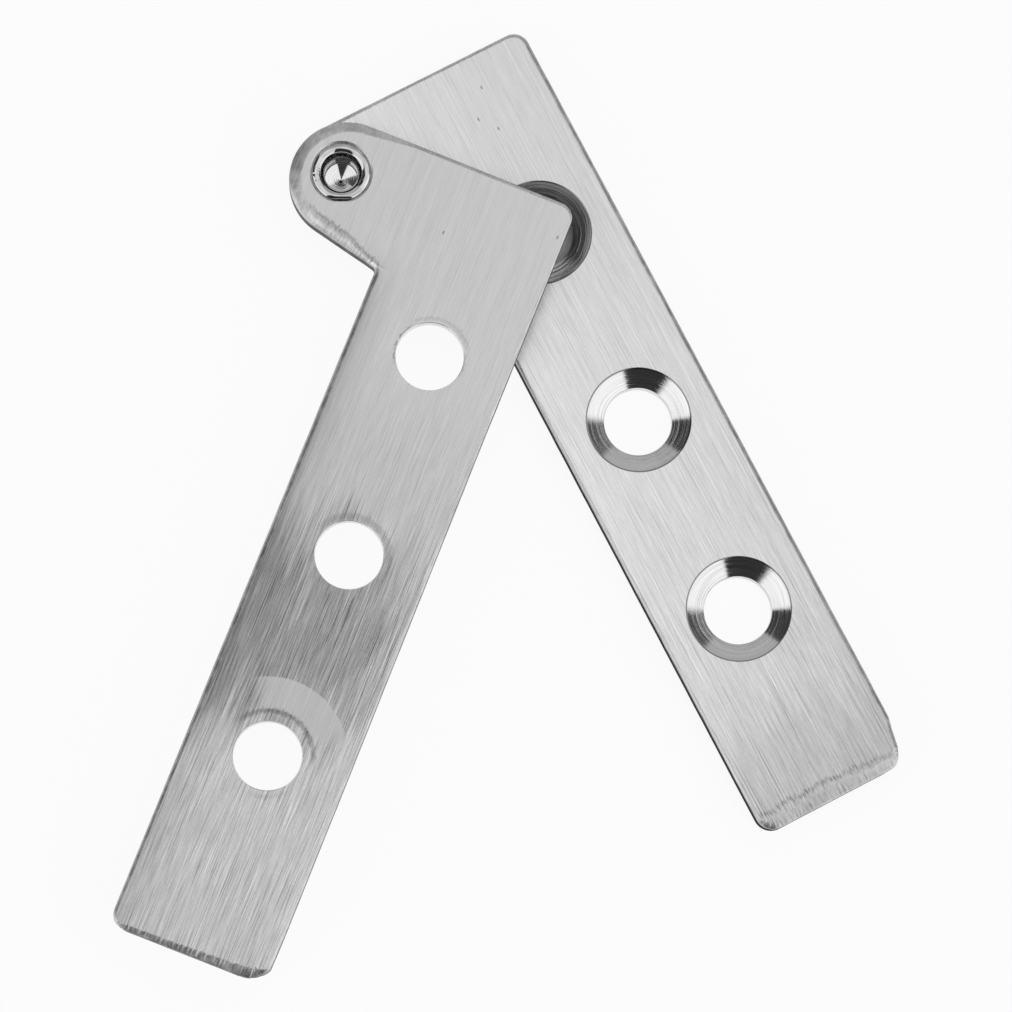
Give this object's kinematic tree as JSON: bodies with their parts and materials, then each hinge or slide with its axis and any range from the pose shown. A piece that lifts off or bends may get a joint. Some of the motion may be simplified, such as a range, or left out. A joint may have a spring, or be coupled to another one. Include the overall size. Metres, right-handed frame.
{
  "type": "pivot door hinge",
  "caption": "Flat offset pivot hinge: dog-leg steel leaves stacked on a hollow rivet, with countersunk screw holes, for the top or bottom corner of a door.",
  "frame": {"origin": "on the pivot axis, in the plane of the lower leaf's resting face", "axes": "+Z along the pivot axis from the lower leaf to the upper one; +X along the lower leaf from its nose to its free end; +Y across the lower leaf from the pivot to the screw row"},
  "size_m": [0.075, 0.0696, 0.0052],
  "materials": {
    "brushed_plate": "linished along each leaf",
    "rivet_steel": "turned, with a polished flare",
    "washer_steel": "plain"
  },
  "bodies": {
    "frame_side": {"lower_leaf": "brushed_plate", "pivot_rivet": "rivet_steel", "spacer_washer": "washer_steel"},
    "door_side": {"upper_leaf": "brushed_plate"}
  },
  "joints": [
    {"name": "leaf_swing", "type": "hinge", "parent": "frame_side", "child": "door_side", "pos_m": [0, 0, 0.0028], "axis": [0, 0, 1], "continuous": true}
  ]
}
